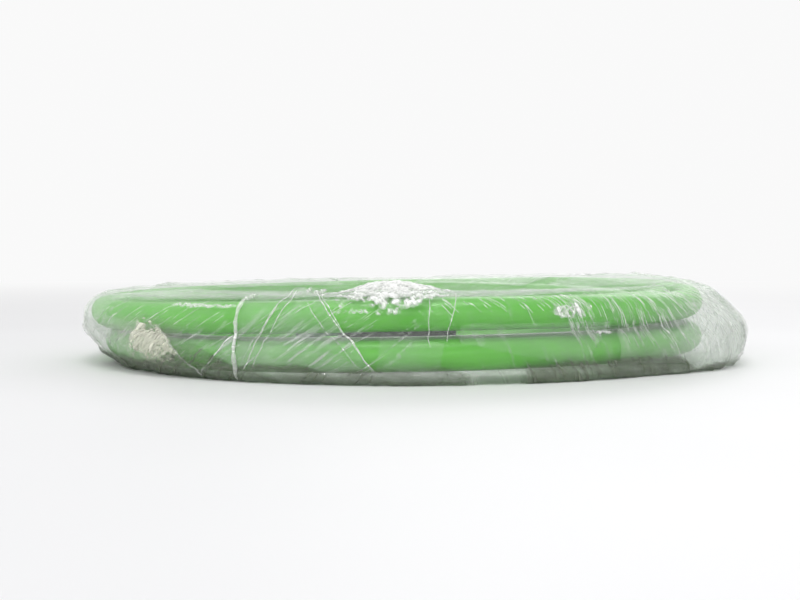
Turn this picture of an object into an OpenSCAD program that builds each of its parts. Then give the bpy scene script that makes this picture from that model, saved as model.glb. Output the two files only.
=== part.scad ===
// Ruggedised duplex fiber optic patch cord, coiled flat and wrapped in stretch film.
// Millimetres, +Z up, origin on the resting surface at the centre of the wrapped pack.

/* [Cord] */
// Outer diameter of the jacketed cable
cable_d = 7.2; // [6.8:0.1:7.2]
// Outer diameter of each single-fiber leg
leg_d = 3; // [2.8:0.1:3]
// Outer diameter of the coil
coil_d = 160; // [160:0.5:162]
// Side-by-side gap between neighbouring turns
turn_gap = 0.4; // [0.2:0.1:0.4]
// Height from the centre of the lower turns to the centre of the upper turns
layer_rise = 8.6; // [7.8:0.1:8.6]
// Height of the coil above the resting surface
coil_lift = 3; // [2.6:0.1:3]

/* [Connectors] */
// Distance between the two plugs of a duplex pair
plug_pitch = 12.7; // [12.7:0.1:12.8]
// Width of the outer grip
grip_w = 9.2; // [9:0.1:9.2]
// Height of the outer grip
grip_h = 8.9; // [8.6:0.1:8.9]
// Diameter of the ceramic ferrule
ferrule_d = 2.5; // [2.4:0.1:2.5]
// How far the grip slides back to let go of an adapter
grip_travel = 2; // [1.5:0.1:2]

/* [Film] */
// Height of the wrapped pack
film_h = 19.6; // [19.5:0.1:21]
// Radius of the film round the coil
film_r = 82.5; // [82:0.5:84]
// Radius of the loose corner of the film
flap_r = 45; // [40:1:50]
// Thickness of the stretched film on the sides and the top
film_t = 0.4; // [0.3:0.1:0.4]
// Thickness of the gathered film under the coil
film_floor = 1.2; // [1:0.1:1.2]

/* [Hidden] */
$fn = 64;
ENDS = ["a", "b"];
CHANNELS = ["1", "2"];
END_PARTS = ["duplex_clip", "breakout", "cord_tail"];
PLUG_PARTS = [
    "grip", "plug_frame", "ferrule", "ferrule_flange", "spring", "buffered_fiber",
    "back_body", "crimp_sleeve", "boot", "dust_cap", "leg"
];
eps = 0.01;

// Coil: two turns side by side, two layers high
cable_r = cable_d / 2;
leg_r = leg_d / 2;
coil_x = -4;
coil_r = coil_d / 2;
coil_inner_r = coil_r - 2 * cable_d - turn_gap;
coil_top = coil_lift + cable_d + layer_rise;

// Film pouch: its right end reaches as far from the origin as its left end
pack_half = film_r - coil_x;
flap_x = pack_half - flap_r;

// Both ends of the cord lie in the coil, end b as the mirror image of end a.
// Lengths along a plug are counted from its front face, positive towards the ferrule's tip.
plug_u = 15;
plug_z = 7.4;
pair_v = 12.65;
slide_gap = 0.1;
close_gap = 0.05;

grip_front = -3;
grip_back = -22;
grip_wall = 0.95;
frame_w = grip_w - 2 * grip_wall - 2 * slide_gap;
frame_h = grip_h - 2 * grip_wall - 2 * slide_gap;
frame_back = -20;
key_w = 2.2;
key_h = 0.7;
window_h = 3.2;
window_front = -5;
window_back = -9;
rib_count = 4;
rib_pitch = 1.2;
rib_size = 0.6;
rib_h = 0.3;
rib_front = -9.6;
notch_depth = 0.4;

sleeve_bore_r = 2.6;
stop_front = -6;
stop_back = -7;
flange_bore_r = 2.4;
retainer_front = -17;
retainer_bore_r = 2.8;

ferrule_r = ferrule_d / 2;
ferrule_tip = 0.8;
ferrule_back = -9;
flange_r = 2.25;
flange_front = stop_back - slide_gap;
flange_back = -10.1;
flange_tail = -13;
flange_tail_r = 1.1;
fiber_r = 0.45;
fiber_back = -27.6;
spring_r = 2.1;
spring_inner_r = 1.3;

shoulder_r = 3.2;
shoulder_back = -21.2;
barrel_r = 1.9;
barrel_back = -27;
fiber_bore_r = 0.7;
sleeve_t = 0.45;
sleeve_front = -21.4;
sleeve_back = -27.5;

boot_back = -42;
boot_step = -28;
boot_tail_r = 2.3;
boot_neck_length = 2;
boot_neck = grip_back - grip_travel - boot_neck_length;
boot_rim_w = 1;
boot_ring_count = 6;
boot_ring_pitch = 2.5;
boot_ring_w = 1.3;
boot_groove = 0.45;

cap_plug_r = 2.5;
cap_back = -5;
cap_bore_r = ferrule_r + close_gap;
cap_bore_end = 1.4;
cap_rim_r = 3.2;
cap_rim_end = 1.2;
cap_knob_r = 2.8;
cap_end = 9;
cap_ring_r = 3.1;
cap_ring_w = 2;

clip_wall = 1.2;
clip_front = -14.5;
clip_back = -20.5;

breakout_v = 44.25;
breakout_z = 6.6;
breakout_r = 5;
breakout_nose_r = 4.3;
breakout_front = 13;
breakout_back = -15;
breakout_taper = 5;
leg_spacing = 4.5;
cord_bore_end = 3;
leg_bore_end = -7;
branch_bore_r = 0.6;

// Routes of the stretches that aren't coiled, as [along the plugs, across them, height]
// from the coil's centre
tail_a_route = [
    [64.5, -23.5, 6.6], [66, -9, 6.6], [62.5, 7, 6.6], [57, 22, 6.6], [47.5, 34.5, 6.6],
    [34, 42, 6.6], [18, 44.25, 6.6], [4, 44.25, 6.6]
];
tail_b_route = [
    [-6, -68, 15.2], [10, -64.5, 15.2], [25, -57.5, 15.1], [38.5, -48.5, 14.9], [49.5, -36.5, 14.7],
    [57, -22, 14.5], [60.5, -6, 14.3], [59.5, 10, 13.4], [54.5, 24.5, 11.6], [45, 36, 9.4],
    [31.5, 42.5, 7.6], [18, 44.25, 6.6], [4, 44.25, 6.6]
];
leg_1_route = [
    [-11, 42, 6.6], [-18, 42, 6.6], [-25, 42, 5.4], [-33, 42, 3.8], [-40.5, 40, 3], [-47, 35.5, 2.9],
    [-50.5, 28, 2.9], [-50.5, 20, 2.9], [-47, 13, 3.4], [-41, 8, 5], [-34, 6.3, 7], [-28, 6.3, 7.4],
    [-14, 6.3, 7.4]
];
leg_2_route = [
    [-11, 46.5, 6.6], [-18, 46.5, 6.6], [-25, 46.5, 5.6], [-32, 46.5, 4.4], [-39, 46, 3.6],
    [-45.5, 43, 3.4], [-50.5, 38.5, 4], [-53, 32.5, 5.6], [-52, 26, 6.5], [-47, 21, 6.8],
    [-40, 19, 7.2], [-32, 19, 7.4], [-14, 19, 7.4]
];

// Direction of a route at one of its points, along the chord between its neighbours
function unit(v) = v / norm(v);
function heading(route, i) =
    unit(route[min(i + 1, len(route) - 1)] - route[max(i - 1, 0)]);
function ring(point, along, radius, sides) =
    let (across = unit(cross([0, 0, 1], along)), up = cross(along, across))
    [for (k = [0:sides - 1]) point
        + radius * cos(360 * k / sides) * across
        + radius * sin(360 * k / sides) * up];

// A closed tube with one ring of points at each point of its route
module swept_tube(route, radius, sides) {
    rings = len(route);
    points = [for (i = [0:rings - 1]) each ring(route[i], heading(route, i), radius, sides)];
    walls = [
        for (i = [0:rings - 2]) for (k = [0:sides - 1])
        let (a = i * sides + k, b = i * sides + (k + 1) % sides)
        each [[a, a + sides, b + sides], [a, b + sides, b]]
    ];
    first = [for (k = [0:sides - 1]) k];
    last = [for (k = [sides - 1:-1:0]) (rings - 1) * sides + k];
    polyhedron(points = points, faces = concat(walls, [first, last]));
}

// A round piece whose length runs along X, from [radius, place along X] points
module turned(profile) {
    rotate([0, 90, 0])
    rotate_extrude()
    polygon(profile);
}

// A rod along X between two places
module rod(radius, from, to) {
    translate([from, 0, 0])
    rotate([0, 90, 0])
    cylinder(r = radius, h = to - from);
}

// A block along X between two places, centred on the plug's axis
module block(width, height, from, to) {
    translate([from, -width / 2, -height / 2])
    cube([to - from, width, height]);
}

module at_end(e) {
    translate([coil_x, 0, 0])
    mirror([0, e, 0])
    children();
}

module at_plug(e, c) {
    at_end(e)
    translate([plug_u, pair_v + (c - 0.5) * plug_pitch, plug_z])
    children();
}

// Outer shape of the wound turns
module cord_coil() {
    width = coil_r - coil_inner_r;
    color("limegreen")
    translate([coil_x, 0, 0])
    rotate_extrude($fn = 128) {
        translate([coil_inner_r + cable_r, coil_lift])
        square([width - cable_d, coil_top - coil_lift]);
        translate([coil_inner_r, coil_lift + cable_r])
        square([width, coil_top - coil_lift - cable_d]);
        for (r = [coil_inner_r + cable_r, coil_r - cable_r])
        for (z = [coil_lift + cable_r, coil_top - cable_r])
        translate([r, z])
        circle(r = cable_r);
    }
}

module cord_tail(e) {
    color("limegreen")
    at_end(e)
    swept_tube(e == 0 ? tail_a_route : tail_b_route, cable_r, 12);
}

module leg(e, c) {
    color("limegreen")
    at_end(e)
    swept_tube(c == 0 ? leg_1_route : leg_2_route, leg_r, 8);
}

// Outline of the film pouch: a disc and a smaller one, joined by their outer tangents
module pouch_outline(inset) {
    big = film_r - inset;
    small = flap_r - inset;
    lean = acos((big - small) / (flap_x - coil_x));
    translate([coil_x, 0])
    circle(r = big, $fn = 128);
    translate([flap_x, 0])
    circle(r = small, $fn = 128);
    polygon([
        [coil_x + big * cos(lean), -big * sin(lean)],
        [flap_x + small * cos(lean), -small * sin(lean)],
        [flap_x + small * cos(lean), small * sin(lean)],
        [coil_x + big * cos(lean), big * sin(lean)]
    ]);
}

// Layers of stretch film all round the coil, gathered and thicker underneath
module film_wrap() {
    color([0.9, 0.93, 0.9, 0.35])
    difference() {
        linear_extrude(height = film_h)
        pouch_outline(0);
        translate([0, 0, film_floor])
        linear_extrude(height = film_h - film_t - film_floor)
        pouch_outline(film_t);
    }
}

// Moulded piece where the cable divides into its two legs
module breakout() {
    bore_r = cable_r + close_gap;
    color("dimgray")
    translate([0, breakout_v, breakout_z])
    difference() {
        turned([
            [0, breakout_back],
            [breakout_nose_r, breakout_back],
            [breakout_r, breakout_back + breakout_taper],
            [breakout_r, breakout_front - breakout_taper],
            [breakout_nose_r, breakout_front],
            [0, breakout_front]
        ]);
        rod(bore_r, cord_bore_end, breakout_front + eps);
        for (side = [-1, 1])
        translate([0, side * leg_spacing / 2, 0]) {
            rod(leg_r + close_gap, breakout_back - eps, leg_bore_end);
            rod(branch_bore_r, leg_bore_end - eps, cord_bore_end + eps);
        }
    }
}

// Outer housing that is pulled back to let go of an adapter
module grip() {
    inner_w = grip_w - 2 * grip_wall;
    inner_h = grip_h - 2 * grip_wall;
    color("seagreen")
    difference() {
        union() {
            block(grip_w, grip_h, grip_back, grip_front);
            translate([0, 0, grip_h / 2])
            block(key_w, 2 * key_h, rib_front + rib_size, grip_front);
            for (i = [0:rib_count - 1])
            for (side = [-1, 1])
            translate([-i * rib_pitch, 0, side * grip_h / 2])
            block(grip_w - 2 * grip_wall, 2 * rib_h, rib_front - rib_size, rib_front);
        }
        block(inner_w, inner_h, grip_back - eps, grip_front + eps);
        block(grip_w + 1, window_h, window_back, window_front);
    }
}

// Inner housing that plugs into the adapter and holds the ferrule's spring
module plug_frame() {
    color("gainsboro")
    difference() {
        block(frame_w, frame_h, frame_back, 0);
        rod(sleeve_bore_r, stop_front, eps);
        rod(ferrule_r + slide_gap, stop_back - eps, stop_front + eps);
        rod(flange_bore_r, retainer_front, stop_back);
        rod(retainer_bore_r + close_gap, frame_back - eps, retainer_front);
        for (side = [-1, 1])
        translate([0, side * frame_w / 2, 0])
        block(2 * notch_depth, window_h, window_back, window_front);
    }
}

module ferrule() {
    color("white")
    rod(ferrule_r, ferrule_back, ferrule_tip);
}

// Metal collar that the ferrule is pressed into
module ferrule_flange() {
    color("silver")
    difference() {
        union() {
            rod(flange_r, flange_back, flange_front);
            rod(flange_tail_r, flange_tail, flange_back + eps);
        }
        rod(ferrule_r, ferrule_back, flange_front + eps);
        rod(fiber_r + close_gap, flange_tail - eps, ferrule_back + eps);
    }
}

// Space that the coil spring fills between the collar and the back body
module spring() {
    color("slategray")
    difference() {
        rod(spring_r, retainer_front, flange_back - slide_gap);
        rod(spring_inner_r, retainer_front - eps, flange_back);
    }
}

module buffered_fiber() {
    color("ivory")
    rod(fiber_r, fiber_back, ferrule_back);
}

// Retainer behind the spring, with the barrel that the cord's yarn is crimped on
module back_body() {
    color("darkgray")
    difference() {
        union() {
            rod(retainer_bore_r, frame_back - eps, retainer_front);
            rod(shoulder_r, shoulder_back, frame_back);
            rod(barrel_r, barrel_back, shoulder_back + eps);
        }
        rod(fiber_bore_r, barrel_back - eps, retainer_front + eps);
    }
}

module crimp_sleeve() {
    bore_r = barrel_r + close_gap;
    color("silver")
    difference() {
        rod(bore_r + sleeve_t, sleeve_back, sleeve_front);
        rod(bore_r, sleeve_back - eps, sleeve_front + eps);
    }
}

// Bend relief behind the plug, grooved so that it flexes
module boot() {
    sleeve_r = barrel_r + sleeve_t + 2 * close_gap;
    taper = (shoulder_r - boot_tail_r) / (boot_neck - boot_back);
    first = boot_back + boot_rim_w;
    color("dimgray")
    difference() {
        turned([
            [0, boot_back],
            [boot_tail_r, boot_back],
            for (i = [0:boot_ring_count - 1])
            let (x = first + i * boot_ring_pitch, r = boot_tail_r + taper * (x - boot_back))
            each [[r, x], [r - boot_groove, x], [r - boot_groove, x + boot_ring_w], [r, x + boot_ring_w]],
            [shoulder_r, boot_neck],
            [shoulder_r, shoulder_back],
            [0, shoulder_back]
        ]);
        rod(leg_r + close_gap, boot_back - eps, boot_step);
        rod(sleeve_r + close_gap, boot_step - eps, shoulder_back + eps);
    }
}

// Cap that keeps dirt off the ferrule
module dust_cap() {
    color("whitesmoke")
    difference() {
        turned([
            [0, cap_back],
            [cap_plug_r, cap_back],
            [cap_plug_r, slide_gap],
            [cap_rim_r, slide_gap],
            [cap_rim_r, cap_rim_end],
            [cap_knob_r, cap_rim_end],
            [cap_knob_r, cap_end - cap_ring_w],
            [cap_ring_r, cap_end - cap_ring_w],
            [cap_ring_r, cap_end],
            [0, cap_end]
        ]);
        rod(cap_bore_r, cap_back - eps, cap_bore_end);
    }
}

// Clip that holds the two grips of a pair side by side
module duplex_clip() {
    color("dimgray")
    translate([plug_u, pair_v, plug_z])
    difference() {
        block(plug_pitch + grip_w + 2 * clip_wall, grip_h + 2 * clip_wall, clip_back, clip_front);
        for (side = [-0.5, 0.5])
        translate([0, side * plug_pitch, 0])
        block(grip_w, grip_h, clip_back - eps, clip_front + eps);
    }
}

cord_coil();
film_wrap();
for (e = [0, 1]) {
    at_end(e) duplex_clip();
    at_end(e) breakout();
    cord_tail(e);
}
for (e = [0, 1]) for (c = [0, 1]) {
    plug = str("_", ENDS[e], CHANNELS[c]);
    at_plug(e, c) grip();
    at_plug(e, c) plug_frame();
    at_plug(e, c) ferrule();
    at_plug(e, c) ferrule_flange();
    at_plug(e, c) spring();
    at_plug(e, c) buffered_fiber();
    at_plug(e, c) back_body();
    at_plug(e, c) crimp_sleeve();
    at_plug(e, c) boot();
    at_plug(e, c) dust_cap();
    leg(e, c);
}
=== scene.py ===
import bpy, math
import numpy as np
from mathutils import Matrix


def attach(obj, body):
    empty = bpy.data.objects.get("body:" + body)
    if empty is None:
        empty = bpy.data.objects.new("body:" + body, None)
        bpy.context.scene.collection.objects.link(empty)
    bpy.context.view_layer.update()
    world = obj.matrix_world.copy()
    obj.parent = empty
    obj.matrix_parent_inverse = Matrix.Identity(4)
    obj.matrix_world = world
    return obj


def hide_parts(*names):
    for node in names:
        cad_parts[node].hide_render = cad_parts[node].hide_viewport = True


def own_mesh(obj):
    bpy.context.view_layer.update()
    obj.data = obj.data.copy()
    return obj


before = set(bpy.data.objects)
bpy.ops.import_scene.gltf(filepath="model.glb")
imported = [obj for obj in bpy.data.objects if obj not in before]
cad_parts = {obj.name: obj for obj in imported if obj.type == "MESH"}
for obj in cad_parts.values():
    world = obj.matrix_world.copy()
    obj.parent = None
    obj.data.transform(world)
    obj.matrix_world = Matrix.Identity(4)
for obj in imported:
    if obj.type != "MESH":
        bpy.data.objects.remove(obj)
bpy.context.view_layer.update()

# The stand it lies on: a wide pale tabletop of matt laminate that runs off into a white surround,
# with a soft lamp overhead, wide soft ones from the left and the front, and a low one from behind.
eye = bpy.data.cameras.new("eye")
eye.lens = 60.2
eye.sensor_width = 36
eye.clip_start = 0.01
eye.clip_end = 50
eye_object = bpy.data.objects.new("eye", eye)
eye_object.location = (-0.0043, -0.3643, 0.0293)
eye_object.rotation_euler = (math.radians(90 - 2.21), 0, 0)
bpy.context.collection.objects.link(eye_object)
bpy.context.scene.camera = eye_object
bpy.context.scene.view_settings.view_transform = "Standard"
bpy.context.scene.cycles.transparent_max_bounces = 24


def new_node(tree, kind, values):
    """Adds a node and sets the inputs that values names."""
    node = tree.nodes.new(kind)
    for socket, value in values.items():
        node.inputs[socket].default_value = value
    return node


def link(tree, source, output, target, socket):
    tree.links.new(source.outputs[output], target.inputs[socket])


surround = bpy.data.worlds.new("surround")
surround.use_nodes = True
sky = surround.node_tree
sky_place = sky.nodes.new("ShaderNodeTexCoord")
sky_split = sky.nodes.new("ShaderNodeSeparateXYZ")
sky_dim = new_node(sky, "ShaderNodeMapRange", {"From Min": 0.24, "From Max": 0.62, "To Min": 0.95,
                   "To Max": 0.55})
sky_dim.interpolation_type = "SMOOTHSTEP"
link(sky, sky_place, "Generated", sky_split, 0)
link(sky, sky_split, "Z", sky_dim, "Value")
link(sky, sky_dim, "Result", sky.nodes["Background"], "Strength")
sky.nodes["Background"].inputs["Color"].default_value = (1.0, 1.0, 1.0, 1)
bpy.context.scene.world = surround


def hang_lamp(name, place, aim, size, watts):
    lamp = bpy.data.lights.new(name, "AREA")
    lamp.shape = "RECTANGLE"
    lamp.size = size[0]
    lamp.size_y = size[1]
    lamp.energy = watts
    holder = bpy.data.objects.new(name, lamp)
    holder.location = place
    away = np.array(place) - np.array(aim)
    turn = math.atan2(away[0], -away[1])
    tip = math.atan2(math.hypot(away[0], away[1]), away[2])
    holder.rotation_euler = (tip, 0, turn)
    bpy.context.collection.objects.link(holder)


hang_lamp("lamp_over", (-0.02, -0.27, 0.75), (0, 0, 0), (0.42, 0.07), 2.2)
hang_lamp("lamp_left", (-0.9, -0.7, 0.8), (0, 0, 0), (0.9, 0.6), 2.3)
hang_lamp("lamp_front", (0.25, -1.3, 0.42), (0, 0, 0), (1.2, 0.6), 2.0)
hang_lamp("lamp_back", (0.3, 0.9, 0.5), (0, 0, 0.01), (0.8, 0.3), 2.0)

tabletop_mesh = bpy.data.meshes.new("tabletop")
rings = 24
spokes = 96
table_points = [(0, 0, 0)]
for ring in range(1, rings + 1):
    reach = 4.0 * (ring / rings) ** 2
    for spoke in range(spokes):
        swing = 2 * math.pi * spoke / spokes
        table_points.append((reach * math.cos(swing), reach * math.sin(swing), 0))
table_faces = [(0, 1 + k, 1 + (k + 1) % spokes) for k in range(spokes)]
for ring in range(rings - 1):
    first = 1 + ring * spokes
    for k in range(spokes):
        nxt = (k + 1) % spokes
        table_faces.append((first + k, first + spokes + k, first + spokes + nxt, first + nxt))
tabletop_mesh.from_pydata(table_points, [], table_faces)
tabletop = bpy.data.objects.new("tabletop", tabletop_mesh)
bpy.context.collection.objects.link(tabletop)

laminate = bpy.data.materials.new("tabletop_laminate")
laminate.use_nodes = True
tree = laminate.node_tree
board = tree.nodes["Principled BSDF"]
board.inputs["Roughness"].default_value = 0.55
place = tree.nodes.new("ShaderNodeTexCoord")
speckle = new_node(tree, "ShaderNodeTexNoise", {"Scale": 9})
tint = tree.nodes.new("ShaderNodeValToRGB")
tint.color_ramp.elements[0].color = (0.79, 0.79, 0.80, 1)
tint.color_ramp.elements[1].color = (0.84, 0.84, 0.85, 1)
link(tree, place, "Object", speckle, "Vector")
link(tree, speckle, "Fac", tint, "Fac")
link(tree, tint, "Color", board, "Base Color")
glow = new_node(tree, "ShaderNodeEmission", {"Color": (1, 1, 1, 1), "Strength": 0.95})
reach_out = tree.nodes.new("ShaderNodeVectorMath")
reach_out.operation = "LENGTH"
fade = new_node(tree, "ShaderNodeMapRange", {"From Min": 0.12, "From Max": 0.9})
fade.interpolation_type = "SMOOTHSTEP"
blend = tree.nodes.new("ShaderNodeMixShader")
link(tree, place, "Object", reach_out, 0)
link(tree, reach_out, "Value", fade, "Value")
link(tree, fade, "Result", blend, "Fac")
link(tree, board, "BSDF", blend, 1)
link(tree, glow, "Emission", blend, 2)
link(tree, blend, "Shader", tree.nodes["Material Output"], "Surface")
tabletop.data.materials.append(laminate)

# The duplex cable: about two metres of green PVC-jacketed cord, 7.2 mm thick. It leaves one breakout,
# is wound four times into a flat ring two turns wide and two high, and ends in the other breakout.
# Extruded in one length; the turns lie against each other without a tie.
MM = 0.001
coil_middle_x = -4.0
cable_thick = 7.2
low_turn_height = 6.6
layer_step = 8.6
inner_turn_radius = 68.8
turn_step = 7.6
upper_swell_left = 2.2
lower_tuck_left = 1.3
upper_sag_left = 1.25
front_left_drop = 1.3
back_right_lift = 1.7
degrees_per_point = 11.8
lead_in = [(4, 44.25, 6.6), (18, 44.25, 6.6), (34, 42, 6.6), (47.5, 34.5, 6.6), (57, 22, 6.6),
           (62.5, 7, 6.6), (66, -9, 6.6), (64.5, -23.5, 6.6)]
lead_out = [(-6, 68, 15.2), (10, 64.5, 15.2), (25, 57.5, 15.1), (38.3, 48.2, 14.9), (49.5, 36.5, 14.7),
            (57, 22, 14.5), (60.5, 6, 14.3), (59.5, -10, 13.4), (54.5, -24.5, 11.6), (45, -36, 9.4),
            (31.5, -42.5, 7.6), (18, -44.25, 6.6), (4, -44.25, 6.6)]


def ease(value, start, stop):
    part = min(1.0, max(0.0, (value - start) / (stop - start)))
    return part * part * (3 - 2 * part)


def settle(swing):
    return max(0.0, -math.cos(swing)) ** 1.5


def front_left_dip(swing):
    return max(0.0, math.cos(swing - math.radians(222))) ** 3


def back_right_rise(swing):
    return max(0.0, math.cos(swing - math.radians(30))) ** 3


turns = []
wound = 36.0
while wound < 1333:
    outward = ease(wound, 325, 355) - ease(wound, 995, 1025)
    upward = ease(wound, 660, 690)
    swing = math.radians(-wound)
    left_shift = (upper_swell_left + lower_tuck_left) * upward - lower_tuck_left
    radius = inner_turn_radius + turn_step * outward + left_shift * settle(swing)
    radius += 0.18 * math.sin(wound / 23.0)
    height = low_turn_height + layer_step * upward - upper_sag_left * upward * settle(swing)
    height += 0.15 * upward * math.sin(wound / 31.0)
    height += back_right_lift * upward * back_right_rise(swing) - front_left_drop * front_left_dip(swing)
    turns.append((radius * math.cos(swing), radius * math.sin(swing), height))
    wound += degrees_per_point
cable_route = [((u + coil_middle_x) * MM, v * MM, z * MM) for u, v, z in lead_in + turns + lead_out]


def lay_cord(name, route, thick, jacket):
    line = bpy.data.curves.new(name, "CURVE")
    line.dimensions = "3D"
    line.resolution_u = 6
    line.bevel_depth = thick * MM / 2
    line.bevel_resolution = 7
    line.use_fill_caps = True
    spline = line.splines.new("BEZIER")
    spline.bezier_points.add(len(route) - 1)
    for knot, point in zip(spline.bezier_points, route):
        knot.co = point
        knot.handle_left_type = "AUTO"
        knot.handle_right_type = "AUTO"
    line.materials.append(jacket)
    cord = bpy.data.objects.new(name, line)
    bpy.context.collection.objects.link(cord)
    return cord


def jacket_finish(name, deep, fresh, roughness):
    jacket = bpy.data.materials.new(name)
    jacket.use_nodes = True
    tree = jacket.node_tree
    skin = tree.nodes["Principled BSDF"]
    place = tree.nodes.new("ShaderNodeTexCoord")
    cloud = new_node(tree, "ShaderNodeTexNoise", {"Scale": 55, "Detail": 4})
    tint = tree.nodes.new("ShaderNodeValToRGB")
    tint.color_ramp.elements[0].position = 0.3
    tint.color_ramp.elements[0].color = deep
    tint.color_ramp.elements[1].position = 0.7
    tint.color_ramp.elements[1].color = fresh
    grain = new_node(tree, "ShaderNodeTexNoise", {"Scale": 900, "Detail": 3})
    scuff = new_node(tree, "ShaderNodeMapRange", {"To Min": roughness - 0.06, "To Max": roughness + 0.1})
    rough_bump = new_node(tree, "ShaderNodeBump", {"Strength": 0.12, "Distance": 0.0002})
    link(tree, place, "Object", cloud, "Vector")
    link(tree, place, "Object", grain, "Vector")
    link(tree, cloud, "Fac", tint, "Fac")
    link(tree, tint, "Color", skin, "Base Color")
    link(tree, cloud, "Fac", scuff, "Value")
    link(tree, scuff, "Result", skin, "Roughness")
    link(tree, grain, "Fac", rough_bump, "Height")
    link(tree, rough_bump, "Normal", skin, "Normal")
    skin.inputs["Specular IOR Level"].default_value = 0.55
    return jacket


cable_green = jacket_finish("cable_jacket_green", (0.082, 0.43, 0.022, 1), (0.125, 0.52, 0.042, 1), 0.34)
cable = lay_cord("duplex_cable", cable_route, cable_thick, cable_green)
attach(cable, "cord")
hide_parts("cord_coil", "cord_tail_a", "cord_tail_b")

# The single-fiber legs: 3 mm cords of the same green jacket, two from each breakout. Each swings back
# on itself inside the ring and runs into the boot of its own plug.
leg_routes = {
    "1": [(-11, 42, 6.6), (-18, 42, 6.6), (-25, 42, 5.4), (-33, 42, 3.8), (-40.5, 40, 3), (-47, 35.5, 2.9),
          (-50.5, 28, 2.9), (-50.5, 20, 2.9), (-47, 13, 3.4), (-41, 8, 5), (-34, 6.3, 7), (-28, 6.3, 7.4),
          (-14, 6.3, 7.4)],
    "2": [(-11, 46.5, 6.6), (-18, 46.5, 6.6), (-25, 46.5, 5.6), (-32, 46.5, 4.4), (-39, 46, 3.6),
          (-45.5, 43, 3.4), (-50.5, 38.5, 4), (-53, 32.5, 5.6), (-52, 26, 6.5), (-47, 21, 6.8),
          (-40, 19, 7.2), (-32, 19, 7.4), (-14, 19, 7.4)],
}
leg_green = jacket_finish("leg_jacket_green", (0.095, 0.46, 0.03, 1), (0.135, 0.54, 0.05, 1), 0.3)
for end, side in (("a", 1), ("b", -1)):
    for channel, leg_points in leg_routes.items():
        leg_route = [((u + coil_middle_x) * MM, side * v * MM, z * MM) for u, v, z in leg_points]
        leg = lay_cord("fiber_leg_" + end + channel, leg_route, 3.0, leg_green)
        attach(leg, "cord")
        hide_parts("leg_" + end + channel)

# The film skin: clear polyethylene stretch film pulled round the whole ring and over the hole, both
# faces and the rim. Thin, creased and clinging, with a loose crushed corner standing off on the right.
film_thick = 0.14
skin_near = [(0, 16.9), (20, 16.95), (40, 17.3), (52, 18.3), (60, 19.1), (68, 19.2), (75, 19.25),
             (78.3, 18.65), (80.15, 17.1), (80.6, 15.1), (80.3, 12.9), (79.7, 10.9), (80.3, 8.8),
             (80.6, 6.6), (80.4, 4.6), (80.2, 2.9), (80.6, 1.5), (79.3, 0.55), (75, 0.3), (60, 0.25),
             (30, 0.25), (0, 0.25)]
skin_left = [(0, 16.9), (20, 16.9), (40, 17.1), (52, 17.7), (60, 18.0), (68, 18.05), (75, 18.1),
             (79.2, 17.95), (81.4, 17.0), (82.7, 15.4), (83.3, 13.6), (83.5, 11.8), (83.5, 10.0),
             (82.0, 8.6), (80.2, 6.6), (79.0, 4.4), (77.0, 2.8), (74.4, 1.4), (69.5, 0.6), (56, 0.25),
             (30, 0.25), (0, 0.25)]
skin_right = [(0, 16.9), (20, 16.95), (40, 17.3), (52, 18.3), (60, 19.1), (68, 19.2), (75, 19.2),
              (79.6, 18.2), (83.2, 15.9), (86.3, 13.2), (88.8, 10.8), (90.0, 8.9), (90.2, 7.0),
              (90.0, 5.3), (89.6, 3.8), (88.9, 2.4), (87.6, 1.3), (85.4, 0.6), (78, 0.3), (60, 0.25),
              (30, 0.25), (0, 0.25)]
skin_shapes = np.array([skin_near, skin_left, skin_right], float)
steps = np.hypot(np.diff(skin_shapes[0, :, 0]), np.diff(skin_shapes[0, :, 1]))
skin_run = np.concatenate([[0], np.cumsum(steps)])


def soft_step(value, start, stop):
    part = np.clip((value - start) / (stop - start), 0, 1)
    return part * part * (3 - 2 * part)


def bare_skin(phi, t):
    """Point (rho, z) of the smooth skin at bearing phi (degrees from the front) and row t."""
    left = np.clip(np.cos(np.radians(phi + 90)), 0, 1) ** 1.6
    right = soft_step(np.cos(np.radians(phi - 92)), math.cos(math.radians(52)), 0.97)
    share = np.stack([1 - left - right, left, right])
    i = np.clip(np.floor(t).astype(int), 0, 20)
    f = t - i
    knots = [np.clip(i + k, 0, 21) for k in (-1, 0, 1, 2)]
    pull = [-0.5 * f + f ** 2 - 0.5 * f ** 3, 1 - 2.5 * f ** 2 + 1.5 * f ** 3,
            0.5 * f + 2 * f ** 2 - 1.5 * f ** 3, -0.5 * f ** 2 + 0.5 * f ** 3]
    spot = np.zeros(t.shape + (2,))
    for knot, weight in zip(knots, pull):
        for s in range(3):
            spot += (share[s] * weight)[..., None] * skin_shapes[s][knot]
    dip = np.clip(np.cos(np.radians(phi + 48)), 0, 1) ** 3
    spot[..., 1] -= front_left_drop * dip * soft_step(t, 3.5, 5.5) * (1 - soft_step(t, 13.5, 16))
    rise = np.clip(np.cos(np.radians(phi - 120)), 0, 1) ** 3
    spot[..., 1] += back_right_lift * rise * soft_step(t, 1.5, 4) * (1 - soft_step(t, 8, 12))
    return spot


def value_noise(x, y, seed):
    table = np.random.RandomState(seed).rand(64, 64)
    column = np.floor(x).astype(int)
    row = np.floor(y).astype(int)
    fx = x - column
    fy = y - row
    fx = fx * fx * (3 - 2 * fx)
    fy = fy * fy * (3 - 2 * fy)
    a = table[row % 64, column % 64]
    b = table[row % 64, (column + 1) % 64]
    c = table[(row + 1) % 64, column % 64]
    d = table[(row + 1) % 64, (column + 1) % 64]
    return (a * (1 - fx) + b * fx) * (1 - fy) + (c * (1 - fx) + d * fx) * fy


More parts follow.
